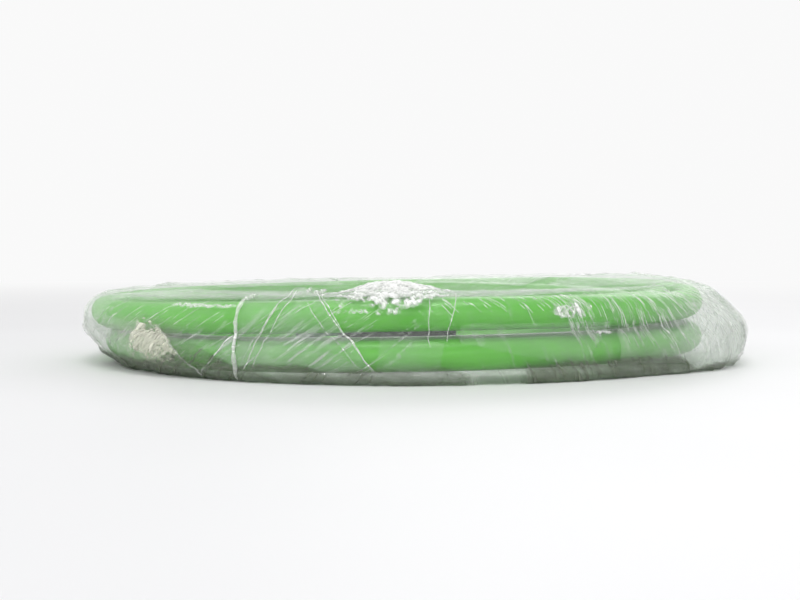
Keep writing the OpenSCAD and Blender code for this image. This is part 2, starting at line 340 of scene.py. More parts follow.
def crease_lines(phi, run, lean, long, short, seed, crisp):
    """Sharp ridges of crushed film, leaning by an angle from the way round; 0 to 1."""
    def strands(around):
        c = math.cos(math.radians(lean))
        s = math.sin(math.radians(lean))
        along = (around * c + run * s) / long
        across = (run * c - around * s) / short
        across = across + 0.9 * value_noise(along * 1.7, across * 0.6, seed + 7)
        mix = 0.66 * value_noise(along, across, seed)
        mix = mix + 0.34 * value_noise(2.1 * along, 2.1 * across, seed + 1)
        return np.clip(1 - np.abs(2 * mix - 1) * 1.9, 0, 1) ** crisp
    around = np.radians(phi) * 80
    seam = soft_step(phi, 140, 180)
    return strands(around) * (1 - seam) + strands(around - 2 * math.pi * 80) * seam


def face_creases(phi, rho, lean, long, short, seed, crisp):
    """The same ridges, but running straight across the flat faces of the wrap."""
    x = rho * np.sin(np.radians(phi)) + 0.2
    y = rho * np.cos(np.radians(phi))
    flat_phi = np.degrees(x / 80)
    return crease_lines(flat_phi, y + 100, lean, long, short, seed, crisp)


def patch_mark(phi, run, middle, reach):
    """A soft-edged oval patch round a (bearing, run) place; 0 to 1."""
    a = (phi - middle[0]) / reach[0]
    b = (run - middle[1]) / reach[1]
    return np.exp(-(a * a + b * b))


def film_folds(phi, t):
    """Lift off the smooth skin in mm, and how milky the film is there."""
    run = np.interp(t, np.arange(22), skin_run)
    here = bare_skin(phi, t)
    sunk = np.clip(np.cos(np.radians(phi + 90)), 0, 1) ** 1.5
    dip = front_left_drop * np.clip(np.cos(np.radians(phi + 48)), 0, 1) ** 3
    rise = back_right_lift * np.clip(np.cos(np.radians(phi - 120)), 0, 1) ** 3
    outer_turn_radius = inner_turn_radius + turn_step
    past_turn = here[..., 0] - outer_turn_radius
    over_low = here[..., 1] + dip - low_turn_height
    over_high = over_low - layer_step - rise + upper_sag_left * sunk
    low_gap = np.hypot(past_turn + lower_tuck_left * sunk, over_low) - cable_thick / 2
    high_gap = np.hypot(past_turn - upper_swell_left * sunk, over_high) - cable_thick / 2
    standing_off = soft_step(np.minimum(low_gap, high_gap), 0.45, 2.2)
    rim = soft_step(t, 4.5, 6.5) * (1 - soft_step(t, 16.2, 17.6))
    face = 1 - soft_step(t, 5.0, 6.5)
    under = soft_step(t, 15.2, 16.6)
    slant = crease_lines(phi, run, 62, 26, 4.2, 11, 2.6)
    counter = crease_lines(phi, run, -38, 24, 4.4, 23, 2.8)
    upright = crease_lines(phi, run, 84, 30, 6.0, 37, 2.8)
    round_about = crease_lines(phi, run, 6, 60, 6.0, 53, 2.4)
    broad = crease_lines(phi, run, 58, 46, 11.0, 83, 1.5)
    fine = crease_lines(phi, run, 40, 8, 2.4, 71, 1.8)
    across_face = 1 - soft_step(t, 4.2, 5.4) + soft_step(t, 17.4, 18.2)
    slant = slant + across_face * (face_creases(phi, here[..., 0], 28, 44, 7.5, 13, 2.6) - slant)
    counter = counter + across_face * (face_creases(phi, here[..., 0], -63, 38, 8.0, 27, 2.8) - counter)
    upright = upright * (1 - across_face)
    fine = fine + across_face * (face_creases(phi, here[..., 0], 75, 17, 4.5, 73, 2.0) - fine)
    corner = soft_step(phi, 30, 62) * (1 - soft_step(phi, 118, 135))
    pinch = patch_mark(phi, run, (-16.5, 76), (1.8, 2.2))
    lumpy = 0.35 + 0.85 * value_noise(np.radians(phi) * 9, run / 13, 5)
    calm = 1 - 0.7 * soft_step(phi, 5, 9) * (1 - soft_step(phi, 27, 34)) * rim
    lift = (0.30 * slant + 0.28 * counter + 0.16 * upright + 0.10 * fine) * lumpy * calm
    lift = lift * (rim + 0.55 * face) + 0.18 * round_about * face
    lift += corner * rim * (0.30 * slant + 0.22 * counter + 0.80 * broad) * (0.25 + 0.8 * standing_off)
    lift += 2.0 * pinch + 0.25 * under * (slant + fine)
    crease_milk_and_glint = np.maximum(slant, np.maximum(counter, 0.8 * upright)) ** 3
    cloud = value_noise(np.radians(phi) * 7 + 3, run / 9, 9)
    over_hole = (1 - soft_step(here[..., 0], 56, 66)) * face
    milky = 0.05 + 0.16 * cloud
    top_right = patch_mark(phi, run, (52, 77), (34, 7.5))
    bridging = standing_off * (1 - 0.72 * over_hole) * (1 - 0.75 * under) * (1 - 0.75 * top_right)
    milky += 0.75 * bridging * (0.55 + 0.6 * cloud)
    # Partly painted glint: creases made milkier, standing in for glints as well as for the whitening of
    # creased film.
    milky += 0.28 * crease_milk_and_glint * lumpy * calm
    milky += 0.9 * soft_step(here[..., 0], 81.5, 88) * (0.7 + 0.3 * fine) * (phi > 0)
    milky += 0.20 * rim * soft_step(-phi, 66, 80) * (1 - soft_step(-phi, 104, 120)) * (0.6 + 0.6 * cloud)
    milky += 0.38 * patch_mark(phi, run, (-17, 86.5), (3.6, 3.6)) * (0.6 + 0.8 * cloud)
    front = soft_step(np.cos(np.radians(phi)), 0.2, 0.7)
    milky += 0.06 * face + 0.42 * face * front * soft_step(here[..., 0], 50, 64)
    milky += 0.22 * under * fine * (1 - 0.85 * patch_mark(phi, run, (15.5, 96), (5, 3)))
    return lift, np.clip(milky, 0.02, 1.8)


def film_spot(phi, t, raise_by=0.0):
    """Points of the creased skin in mm, and its milkiness."""
    here = bare_skin(phi, t)
    ahead = bare_skin(phi, np.minimum(t + 0.05, 21)) - bare_skin(phi, np.maximum(t - 0.05, 0))
    size = np.maximum(np.hypot(ahead[..., 0], ahead[..., 1]), 1e-9)
    out_rho = -ahead[..., 1] / size
    out_z = ahead[..., 0] / size
    lift, milky = film_folds(phi, t)
    lift = lift * soft_step(t, 0.0, 2.5) + raise_by
    rho = here[..., 0] + out_rho * lift
    z = np.maximum(here[..., 1] + out_z * lift, 0.16)
    bearing = np.radians(phi)
    spots = np.stack([rho * np.sin(bearing) + coil_middle_x, -rho * np.cos(bearing), z], -1)
    return spots, milky


def film_sheet(name, phi, t, raise_by, milky_scale, finish, loop=False):
    """A sheet of film over a grid of bearings and rows; loop closes it round and caps both ends."""
    grid, milky = film_spot(phi, t, raise_by)
    milky = milky * milky_scale if np.isscalar(milky_scale) else milky_scale
    count, columns = phi.shape
    run = np.interp(t, np.arange(22), skin_run)
    points = grid.reshape(-1, 3)
    values = milky.reshape(-1)
    wrap = np.stack([np.radians(phi) * 0.8, run / 100], -1).reshape(-1, 2)
    laid_flat = np.stack([grid[..., 0] / 100, grid[..., 1] / 100 + 5], -1).reshape(-1, 2)
    on_face = ((t < 5.2) | (t > 17.8)).reshape(-1)
    faces = []
    marks = []
    for row in range(count - 1):
        for k in range(columns if loop else columns - 1):
            a = row * columns + k
            b = row * columns + (k + 1) % columns
            faces.append((a, a + columns, b + columns, b))
            turn = (2 * math.pi * 0.8, 0) if b < a else (0, 0)
            if on_face[a]:
                marks += [laid_flat[a], laid_flat[a + columns], laid_flat[b + columns], laid_flat[b]]
            else:
                marks += [wrap[a], wrap[a + columns], wrap[b + columns] + turn, wrap[b] + turn]
    if loop:
        top = len(points)
        points = np.concatenate([points, [grid[0].mean(0), grid[-1].mean(0)]])
        values = np.concatenate([values, [milky[0].mean(), milky[-1].mean()]])
        last = (count - 1) * columns
        for k in range(columns):
            faces.append((top, k, (k + 1) % columns))
            faces.append((top + 1, last + (k + 1) % columns, last + k))
            nxt = (k + 1) % columns
            marks += [(coil_middle_x / 100, 5), laid_flat[k], laid_flat[nxt]]
            marks += [(coil_middle_x / 100, 5), laid_flat[last + nxt], laid_flat[last + k]]
    mesh = bpy.data.meshes.new(name)
    mesh.from_pydata((points * MM).tolist(), [], faces)
    haze = mesh.attributes.new("milky", "FLOAT", "POINT")
    haze.data.foreach_set("value", values.astype(np.float32))
    mesh.uv_layers.new(name="wrap").data.foreach_set("uv", np.array(marks, np.float32).reshape(-1))
    mesh.polygons.foreach_set("use_smooth", [True] * len(mesh.polygons))
    sheet = bpy.data.objects.new(name, mesh)
    bpy.context.collection.objects.link(sheet)
    wall = sheet.modifiers.new("film_thickness", "SOLIDIFY")
    wall.thickness = film_thick * MM
    wall.offset = 1
    wall.use_quality_normals = True
    mesh.materials.append(finish)
    return sheet


def film_finish(name, colour, clear, milk, crinkle):
    """Clear film whose milkiness follows the creases, with fine drawn streaks along the wrap; along the
    streak crests it is made milkier in patches as painted glints.
    """
    film = bpy.data.materials.new(name)
    film.use_nodes = True
    tree = film.node_tree
    sheet = tree.nodes["Principled BSDF"]
    sheet.inputs["Base Color"].default_value = colour
    sheet.inputs["IOR"].default_value = 1.5
    sheet.inputs["Specular IOR Level"].default_value = 1.0
    wrap = tree.nodes.new("ShaderNodeUVMap")
    wrap.uv_map = "wrap"
    haze = tree.nodes.new("ShaderNodeAttribute")
    haze.attribute_name = "milky"
    streaks = []
    for lean, long, short, twist in ((64, 9, 115, 0.6), (-36, 7, 95, 0.8)):
        turned = new_node(tree, "ShaderNodeVectorRotate", {"Angle": math.radians(-lean)})
        turned.rotation_type = "Z_AXIS"
        drawn = new_node(tree, "ShaderNodeMapping", {"Scale": (long, short, 1)})
        strand = new_node(tree, "ShaderNodeTexNoise", {"Scale": 1.0, "Detail": 3, "Distortion": twist})
        link(tree, wrap, "UV", turned, "Vector")
        link(tree, turned, "Vector", drawn, "Vector")
        link(tree, drawn, "Vector", strand, "Vector")
        streaks.append(strand)
    way = tree.nodes.new("ShaderNodeSeparateXYZ")
    side = new_node(tree, "ShaderNodeMapRange", {"From Min": -0.1, "From Max": 0.25})
    both = tree.nodes.new("ShaderNodeMix")
    link(tree, wrap, "UV", way, 0)
    link(tree, way, "X", side, "Value")
    link(tree, side, "Result", both, "Factor")
    tree.links.new(streaks[1].outputs["Fac"], both.inputs["A"])
    tree.links.new(streaks[0].outputs["Fac"], both.inputs["B"])
    hair = new_node(tree, "ShaderNodeMapRange", {"From Min": 0.56, "From Max": 0.80, "To Min": 0.45,
                    "To Max": 2.6})
    gloss = new_node(tree, "ShaderNodeMapRange", {"To Min": 0.06, "To Max": 0.26})
    rub = new_node(tree, "ShaderNodeTexNoise", {"Scale": 40})
    edge = new_node(tree, "ShaderNodeLayerWeight", {"Blend": 0.25})
    body = tree.nodes.new("ShaderNodeMath")
    body.operation = "MULTIPLY"
    thin = new_node(tree, "ShaderNodeMath", {1: milk, 2: clear})
    thin.operation = "MULTIPLY_ADD"
    total = new_node(tree, "ShaderNodeMath", {1: 0.12})
    total.operation = "MULTIPLY_ADD"
    total.use_clamp = True
    # Painted highlight: along the crests of the streaks the film is made more opaque and whitish in patches,
    # standing in for glints.
    painted_glint_line = new_node(tree, "ShaderNodeMapRange", {"From Min": 0.60, "From Max": 0.74,
                          "To Max": 0.34})
    patchy = new_node(tree, "ShaderNodeTexNoise", {"Scale": 5.5})
    patchy_cut = new_node(tree, "ShaderNodeMapRange", {"From Min": 0.46, "From Max": 0.64})
    painted_glint_patches = tree.nodes.new("ShaderNodeMath")
    painted_glint_patches.operation = "MULTIPLY"
    milk_and_painted_glints = tree.nodes.new("ShaderNodeMath")
    milk_and_painted_glints.operation = "ADD"
    bump = new_node(tree, "ShaderNodeBump", {"Strength": crinkle, "Distance": 0.0009})
    link(tree, wrap, "UV", patchy, "Vector")
    link(tree, patchy, "Fac", patchy_cut, "Value")
    link(tree, both, "Result", painted_glint_line, "Value")
    link(tree, painted_glint_line, "Result", painted_glint_patches, 0)
    link(tree, patchy_cut, "Result", painted_glint_patches, 1)
    link(tree, thin, "Value", milk_and_painted_glints, 0)
    link(tree, painted_glint_patches, "Value", milk_and_painted_glints, 1)
    link(tree, both, "Result", hair, "Value")
    link(tree, haze, "Fac", body, 0)
    link(tree, hair, "Result", body, 1)
    link(tree, body, "Value", thin, 0)
    link(tree, edge, "Facing", total, 0)
    link(tree, milk_and_painted_glints, "Value", total, 2)
    link(tree, total, "Value", sheet, "Alpha")
    link(tree, wrap, "UV", rub, "Vector")
    link(tree, rub, "Fac", gloss, "Value")
    link(tree, gloss, "Result", sheet, "Roughness")
    link(tree, both, "Result", bump, "Height")
    link(tree, bump, "Normal", sheet, "Normal")
    return film


clear_film = film_finish("clear_stretch_film", (0.80, 0.86, 0.80, 1), 0.012, 0.22, 0.5)
bearings = 360 * np.arange(456) / 456.0 - 180
bearings = bearings - 32 * np.sin(np.radians(bearings))
rows = np.concatenate([np.linspace(0.15, 4.5, 24, endpoint=False), np.linspace(4.5, 17.5, 66, endpoint=False),
                       np.linspace(17.5, 20.9, 11)])
phi_grid, row_grid = np.meshgrid(bearings, rows)
film_skin = film_sheet("film_skin", phi_grid, row_grid, 0.0, 1.0, clear_film, loop=True)
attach(film_skin, "cord")
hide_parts("film_wrap")

# Overlaps of the film: where one pass of the wrap lies over the last, its cut edge shows as a straight
# border and the doubled film looks milkier. Each is a four-sided lap clinging to the skin below it.
laps = [
    ((-60, 84), (-43, 85.2), (-34, 98.2), (-58, 98.2), 0.22),
    ((-35, 98.2), (-26.6, 86.6), (-26.2, 88), (-26.4, 98.2), 0.5),
    ((-25.4, 76), (-14, 76), (-4, 95), (-26.4, 96.5), 0.42),
    ((-26, 88.5), (-9, 91), (-3, 98), (-27, 98), 0.42),
    ((9, 84.6), (35, 84.6), (30, 95.2), (9, 88.8), 0.26),
    ((36.8, 87), (63, 83), (66, 97.8), (37.6, 97.8), 0.45),
    ((-3, 86), (6.5, 89), (5.2, 98.4), (-4, 97.4), 0.4),
    ((20, 96), (60, 94.5), (62, 108), (24, 108), 0.25),
    ((-70, 72), (-52, 72), (-66, 90), (-86, 88), 0.16),
    ((66, 74), (92, 72), (98, 96), (74, 95), 0.24),
    ((-8, 52), (38, 46), (40, 74), (4, 75), 0.5),
    ((-80, 46), (-24, 50), (-18, 74), (-70, 74), 0.4),
    ((104, 76), (131, 74), (139, 97), (112, 98), 0.45),
    ((144, 78), (172, 75), (163, 98), (139, 96), 0.5),
    ((-172, 76), (-148, 75), (-140, 94), (-168, 98), 0.5),
    ((-136, 80), (-112, 75), (-118, 97), (-141, 98), 0.4),
    ((-108, 75), (-92, 80), (-88, 97), (-111, 93), 0.45),
    ((60, 44), (118, 46), (112, 73), (70, 74), 0.22),
    ((126, 42), (176, 48), (170, 74), (130, 72), 0.4),
    ((-160, 44), (-104, 50), (-110, 73), (-152, 74), 0.45),
]
for number, (c1, c2, c3, c4, thickness_look) in enumerate(laps, 1):
    across, down = np.meshgrid(np.linspace(0, 1, 40), np.linspace(0, 1, 40))
    weights = ((1 - across) * (1 - down), across * (1 - down), across * down, (1 - across) * down)
    lap_phi = sum(w * c[0] for w, c in zip(weights, (c1, c2, c3, c4)))
    lap_run = sum(w * c[1] for w, c in zip(weights, (c1, c2, c3, c4)))
    lap_run = lap_run + 0.5 * (value_noise(lap_phi / 3, lap_run / 6, number) - 0.5)
    lap_t = np.interp(lap_run, skin_run, np.arange(22))
    cloud = value_noise(lap_phi / 4, lap_run / 4, 30 + number)
    look = thickness_look * (0.45 + 0.9 * cloud)
    lap_gap = 0.26 + 0.03 * number % 0.2
    lap = film_sheet("film_lap_" + str(number), lap_phi, lap_t, lap_gap, look, clear_film)
    flat_lap = bare_skin(lap_phi, lap_t)
    swing = np.radians(lap_phi)
    beside = flat_lap[..., 0] * np.sin(swing)
    ahead = -flat_lap[..., 0] * np.cos(swing)
    flat_lap = np.stack([beside, ahead, flat_lap[..., 1]], -1) * MM
    wide = np.linalg.norm(np.diff(flat_lap, axis=1), axis=2).sum(1).max()
    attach(lap, "cord")

# Crushed film: finely crumpled near-white patches, and a dull cream tuft where the end of the wrap was
# bunched up and pressed flat against the ring. The big patch over the front edge and the thin strips along
# and just below the crest of the upper turn are painted glare: their white stands in for highlights.
white_film_and_painted_glare = film_finish("white_film_and_painted_glare", (0.97, 0.98, 0.96, 1), 0.0, 0.85, 0.9)
cream_film = film_finish("bunched_film", (0.90, 0.89, 0.76, 1), 0.0, 0.7, 0.5)
# Painted highlight: the big front patch and the two thin strips by the crest lie where glare shows, and their
# white film stands in for it.
patches = [
    ("film_crush_painted_glare", (-2.0, 70.5), (11, 12), 0.42, 0.5, 2.4, white_film_and_painted_glare),
    ("film_bunch", (-45, 90), (8.2, 6.4), 0.5, 0.5, 1.6, cream_film),
    ("film_crush_right_painted_highlight", (27, 82.3), (4.2, 1.5), 0.3, 0.4, 0.9, white_film_and_painted_glare),
    ("film_crush_low", (34, 87.6), (1.7, 0.9), 0.4, 0.4, 1.2, white_film_and_painted_glare),
    ("film_crush_crest_painted_highlight", (-33, 80.4), (7.5, 0.7), 0.25, 0.3, 1.0, white_film_and_painted_glare),
]
for number, (name, middle, reach, height, raise_by, strength, finish) in enumerate(patches):
    finer = 1.6 if name == "film_bunch" else 1.0
    side_steps = np.linspace(-1, 1, int(110 * finer))
    down_steps = np.linspace(-1, 1, int(80 * finer))
    side_to_side, down = np.meshgrid(side_steps, down_steps)
    patch_phi = middle[0] + reach[0] * side_to_side
    patch_run = middle[1] + reach[1] * down
    patch_t = np.interp(patch_run, skin_run, np.arange(22))
    crumple = crease_lines(patch_phi, patch_run, 35, 2.8, 0.8, 91 + number, 1.6)
    crumple = np.maximum(crumple, crease_lines(patch_phi, patch_run, -50, 2.4, 0.75, 61 + number, 1.7))
    if name == "film_bunch":
        crumple = np.maximum(crease_lines(patch_phi, patch_run, -24, 8, 0.42, 93, 1.2),
                             crease_lines(patch_phi, patch_run, -52, 6, 0.40, 63, 1.3))
    ragged = np.hypot(side_to_side, down)
    ragged += 0.7 * (value_noise(patch_phi * 1.1, patch_run * 1.1, 17 + number) - 0.5)
    ragged += 0.35 * (value_noise(patch_phi * 3.7, patch_run * 3.7, 19 + number) - 0.5)
    shown = 1 - soft_step(ragged, 0.5, 0.95)
    if name == "film_bunch":
        off_axis = np.abs(side_to_side - 0.10 * (1 + down)) - 0.10 - 0.45 * (1 + down)
        shown = shown * (1 - soft_step(off_axis, 0.0, 0.22)) * (1 - 0.8 * soft_step(down, 0.1, 0.8))
    look = strength * shown * (0.22 + crumple)
    lifted = raise_by + height * crumple * shown
    if name == "film_crush_painted_glare":
        bulge = np.exp(-((patch_run - 69) / 5) ** 2) * np.clip(1 - side_to_side ** 2, 0, 1) ** 2
        lifted = lifted + 2.3 * bulge
    patch = film_sheet(name, patch_phi, patch_t, lifted, look, finish)
    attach(patch, "cord")

# Gathered film: slack of the wrap tucked in under the ring, many layers thick. It lies in flattened
# folds along the bottom of the rim, with a clear gap near the middle. Its dark green-grey finish is
# painted shade: the colour stands in for the shadow under the ring, not for the film's own colour.
# Painted shade: the gathered film's dark green-grey colour stands in for the shadow under the ring.
gathered_film_painted_shade = film_finish("gathered_film_painted_shade", (0.105, 0.135, 0.08, 1), 0.0, 0.8, 0.6)
gather_phi, gather_run = np.meshgrid(np.linspace(-84, 76, 430), np.linspace(86.0, 98.8, 76))
gather_t = np.interp(gather_run, skin_run, np.arange(22))
folded = crease_lines(gather_phi, gather_run, 10, 13, 1.5, 131, 1.3)
blotch = value_noise(gather_phi / 4.2 + 40, gather_run / 2.4, 133)
upper_edge = 93.0 + 3.4 * value_noise(gather_phi / 5.5 + 40, gather_run * 0, 137)
# More painted shade: the dark sheet reaches higher up the rim at the front left.
upper_edge -= 6.0 * np.exp(-((gather_phi + 36) / 8) ** 2)
shown = soft_step(gather_run - upper_edge, -0.4, 0.9)
shown = shown * (1 - 0.94 * soft_step(gather_phi, 9, 11) * (1 - soft_step(gather_phi, 18.5, 21)))
thin_part = soft_step(gather_phi, -6, 0) * (1 - soft_step(gather_phi, 8, 10)) * (gather_run < 97)
shown = shown * (1 - 0.55 * thin_part)
shown = shown * soft_step(gather_phi, -84, -70) * (1 - soft_step(gather_phi, 62, 76))
look = shown * (0.30 + 0.75 * blotch + 0.55 * folded) * (0.45 + 0.55 * soft_step(gather_run, 91, 94.5))
gather = film_sheet("film_gather_painted_shade", gather_phi, gather_t, 0.46 + 0.35 * folded * shown, look, gathered_film_painted_shade)
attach(gather, "cord")

# Drawn edges and pleats: the wrap's edge is rolled into a thin white strand, and loose film is trapped
# in narrow flat pleats. Both run down the rim, pressed on the skin, and taper away at each end.
strand_sides = 10
strand_steps = 70
strands = [
    ((-25.4, 73.5), (-25.9, 84), (-26.9, 98), 0.46, 0.42, 1.0),
    ((-17.4, 76), (-21.5, 85), (-25.3, 95.5), 0.11, 0.1, 1.0),
    ((-16.6, 77), (-20.4, 86), (-24.2, 95.5), 0.09, 0.1, 0.9),
    ((-18.3, 78), (-22.4, 86), (-25.6, 94), 0.07, 0.1, 0.7),
    ((-14.1, 76), (-9.5, 85), (-4, 95), 0.12, 0.1, 1.0),
    ((-13.1, 77), (-8.6, 86), (-3.3, 96.5), 0.09, 0.1, 0.9),
    ((-15, 79), (-11, 87), (-5.6, 95), 0.07, 0.1, 0.7),
    ((4.6, 77), (3.6, 84), (4.4, 90), 0.1, 0.1, 0.8),
    ((-42.5, 85.2), (-38.3, 91.5), (-34, 98), 0.26, 0.14, 0.7),
    ((-35, 98), (-31, 92.4), (-26.6, 86.8), 0.12, 0.1, 0.9),
    ((44, 79), (47, 86), (51, 95), 0.1, 0.1, 0.9),
    ((52, 77), (56, 86), (60, 94), 0.1, 0.1, 0.9),
    ((62, 76), (65, 86), (66, 96), 0.14, 0.1, 0.9),
    ((9, 76.5), (7.3, 84), (6.8, 89), 0.1, 0.1, 0.8),
    ((-16.6, 60), (-15.4, 70), (-15, 78), 0.4, 0.4, 0.7),
    ((-78, 70), (-76, 82), (-72, 96), 0.34, 0.2, 0.5),
    ((112, 72), (108, 84), (110, 97), 0.4, 0.3, 0.7),
    ((150, 80), (156, 87), (153, 97), 0.4, 0.3, 0.9),
    ((-150, 80), (-157, 88), (-152, 97), 0.4, 0.2, 0.6),
    ((-118, 74), (-113, 84), (-116, 97), 0.36, 0.2, 0.6),
]
for number, (begin, middle, finish_at, wide, thick, look) in enumerate(strands, 1):
    s = np.linspace(0, 1, strand_steps)
    path_phi = (1 - s) ** 2 * begin[0] + 2 * s * (1 - s) * middle[0] + s ** 2 * finish_at[0]
    path_run = (1 - s) ** 2 * begin[1] + 2 * s * (1 - s) * middle[1] + s ** 2 * finish_at[1]
    path_phi = path_phi + 0.35 * (value_noise(path_run / 2.2, s * 0 + number, 40 + number) - 0.5)
    path_t = np.interp(path_run, skin_run, np.arange(22))
    core = film_spot(path_phi, path_t, 0.5 + thick * 0.6)[0]
    out = film_spot(path_phi, path_t, 1.5 + thick * 0.6)[0] - core
    out = out / np.linalg.norm(out, axis=1)[:, None]
    along = np.gradient(core, axis=0)
    along = along / np.linalg.norm(along, axis=1)[:, None]
    beside = np.cross(along, out)
    beside = beside / np.linalg.norm(beside, axis=1)[:, None]
    taper = np.clip(np.minimum(s, 1 - s) * 14, 0.06, 1)
    swell = (0.6 + 0.8 * value_noise(s * 26, s * 0, 50 + number)) * taper
    points = []
    for k in range(strand_sides):
        turn = 2 * math.pi * k / strand_sides
        nub = 1 + 0.35 * math.sin(3 * turn + number)
        sideways = (wide * math.cos(turn) * nub * swell)[:, None] * beside
        outwards = (thick * math.sin(turn) * swell)[:, None] * out
        points.append(core + sideways + outwards)
    points = np.stack(points, 1).reshape(-1, 3)
    faces = []
    for first in range(0, (strand_steps - 1) * strand_sides, strand_sides):
        for k in range(strand_sides):
            nxt = (k + 1) % strand_sides
            faces.append((first + k, first + nxt, first + strand_sides + nxt, first + strand_sides + k))
    last = (strand_steps - 1) * strand_sides
    faces += [tuple(range(strand_sides - 1, -1, -1)), tuple(range(last, last + strand_sides))]
    mesh = bpy.data.meshes.new("film_strand_" + str(number))
    mesh.from_pydata((points * MM).tolist(), [], faces)
    haze = mesh.attributes.new("milky", "FLOAT", "POINT")
    milky = look * (0.6 + 0.7 * value_noise(s * 40, s * 0, 80 + number))
    haze.data.foreach_set("value", np.repeat(milky, strand_sides).astype(np.float32))
    wrap = np.stack([np.radians(path_phi) * 0.8, path_run / 100], -1)
    mesh.uv_layers.new(name="wrap")
    for loop_corner in mesh.loops:
        mesh.uv_layers["wrap"].data[loop_corner.index].uv = wrap[loop_corner.vertex_index // strand_sides]
    mesh.polygons.foreach_set("use_smooth", [True] * len(mesh.polygons))
    mesh.materials.append(white_film_and_painted_glare)
    strand = bpy.data.objects.new(mesh.name, mesh)
    bpy.context.collection.objects.link(strand)
    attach(strand, "cord")

# Drawn lines: short fine ridges where the film was pulled tight over the turns. They lie in slanting
# rows on the skin, leaning one way on the left of the ring and the other way on the right.
def start_rule(name, sizes, takes_lines=False):
    """A Geometry Nodes tree with one named size input for each entry, and a material input."""
    rule = bpy.data.node_groups.new(name, "GeometryNodeTree")
    if takes_lines:
        rule.interface.new_socket("Lines", in_out="INPUT", socket_type="NodeSocketGeometry")
    rule.interface.new_socket("Geometry", in_out="OUTPUT", socket_type="NodeSocketGeometry")
    for size_name, kind in sizes:
        rule.interface.new_socket(size_name, in_out="INPUT", socket_type=kind)
    rule.interface.new_socket("Finish", in_out="INPUT", socket_type="NodeSocketMaterial")
    return rule


def end_rule(rule, shape, given, spin, shift):
    """Turns the shape to lie along X at its place, then makes it real and gives it its finish."""
    moved = new_node(rule, "GeometryNodeTransform", {"Rotation": spin})
    solid = rule.nodes.new("GeometryNodeRealizeInstances")
    coloured = rule.nodes.new("GeometryNodeSetMaterial")
    out = rule.nodes.new("NodeGroupOutput")
    rule.links.new(shape, moved.inputs["Geometry"])
    link(rule, given, shift, moved, "Translation")
    link(rule, moved, "Geometry", solid, "Geometry")
    link(rule, solid, "Geometry", coloured, "Geometry")
    link(rule, given, "Finish", coloured, "Material")
    link(rule, coloured, "Geometry", out, "Geometry")


def run_rule(name, rule, values, lines=((), ())):
    """Runs a tree on a mesh of points and edges and keeps the result as a plain mesh object."""
    start_mesh = bpy.data.meshes.new(name + "_maker")
    start_mesh.from_pydata(lines[0], lines[1], [])
    maker = bpy.data.objects.new(name + "_maker", start_mesh)
    bpy.context.collection.objects.link(maker)
    step = maker.modifiers.new("rule", "NODES")
    step.node_group = rule
    for socket in rule.interface.items_tree:
        if socket.in_out == "INPUT" and socket.name in values:
            step[socket.identifier] = values[socket.name]
    made = bpy.data.meshes.new_from_object(maker.evaluated_get(bpy.context.evaluated_depsgraph_get()))
    bpy.data.objects.remove(maker)
    made.name = name
    piece = bpy.data.objects.new(name, made)
    bpy.context.collection.objects.link(piece)
    return piece


# Painted highlight: the ridges are real, but their near-white colour stands in for the glints along the
# streaks.
ridge_film_painted_glint = bpy.data.materials.new("drawn_film_ridges_painted_glint")
ridge_film_painted_glint.use_nodes = True
tree = ridge_film_painted_glint.node_tree
ridge_surface = tree.nodes["Principled BSDF"]
ridge_surface.inputs["Base Color"].default_value = (0.95, 0.97, 0.94, 1)
ridge_surface.inputs["Roughness"].default_value = 0.1
ridge_surface.inputs["Specular IOR Level"].default_value = 1.0
place = tree.nodes.new("ShaderNodeTexCoord")
breaks = new_node(tree, "ShaderNodeTexNoise", {"Scale": 420})
faint = new_node(tree, "ShaderNodeMapRange", {"From Min": 0.35, "From Max": 0.65, "To Min": 0.12,
                 "To Max": 0.9})
link(tree, place, "Object", breaks, "Vector")
link(tree, breaks, "Fac", faint, "Value")
link(tree, faint, "Result", ridge_surface, "Alpha")
ridge_sizes = (("Ridge radius", "NodeSocketFloat"), ("Place", "NodeSocketVector"))
ridge_rule = start_rule("drawn_ridges", ridge_sizes, takes_lines=True)
given = ridge_rule.nodes.new("NodeGroupInput")
threads = ridge_rule.nodes.new("GeometryNodeMeshToCurve")
section = new_node(ridge_rule, "GeometryNodeCurvePrimitiveCircle", {"Resolution": 6})
swept = new_node(ridge_rule, "GeometryNodeCurveToMesh", {"Fill Caps": True})
link(ridge_rule, given, "Lines", threads, "Mesh")
link(ridge_rule, given, "Ridge radius", section, "Radius")
link(ridge_rule, threads, "Curve", swept, "Curve")
link(ridge_rule, section, "Curve", swept, "Profile Curve")
end_rule(ridge_rule, swept.outputs["Mesh"], given, (0, 0, 0), "Place")
chance = np.random.RandomState(4)
rows_of_lines = [
    ("right", (25, 68), (77, 87), (2.6, 6.0), 170, 0.05),
    ("left", (-64, -28), (83, 97), (5.5, -4.5), 60, 0.035),
    ("crest", (6, 30), (78.5, 81), (1.6, 2.2), 44, 0.06),
    ("mid", (-24, -6), (82, 96), (4.5, -4.0), 34, 0.035),
    ("back_right", (120, 172), (78, 94), (3.0, 6.0), 60, 0.06),
    ("back_left", (-168, -112), (78, 94), (-4.0, 6.0), 60, 0.06),
]
